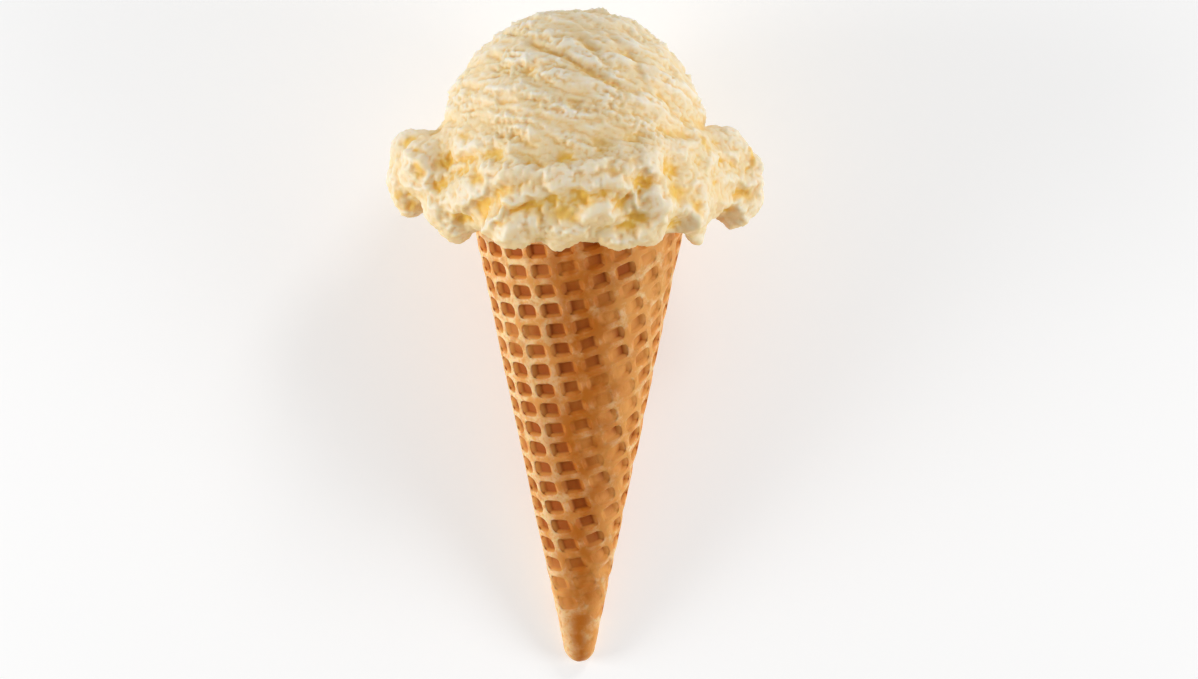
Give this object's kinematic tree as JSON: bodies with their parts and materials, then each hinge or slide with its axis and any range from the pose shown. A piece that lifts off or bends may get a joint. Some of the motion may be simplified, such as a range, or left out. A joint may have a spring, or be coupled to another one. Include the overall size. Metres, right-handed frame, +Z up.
{
  "type": "scooped ice cream cone",
  "caption": "Scoop of hard ice cream with a ragged skirt, set in a rolled wafer cone with a waffle grid and lying on its back.",
  "frame": {"origin": "middle of the footprint, on the surface that the cone lies on", "axes": "+Y from the tip of the cone towards the scoop, along the floor; +Z up, towards the shown side; +X to the right of the shown side"},
  "size_m": [0.0938, 0.1608, 0.0787],
  "materials": {
    "baked_wafer": "dry baked wafer, browner in the pockets of the grid, with fine pores",
    "hard_ice_cream": "pale cream frozen curds with a soft wet gleam and warmer yellow crevices"
  },
  "bodies": {
    "root": {"wafer_cone": "baked_wafer", "ice_cream": "hard_ice_cream"}
  },
  "joints": []
}
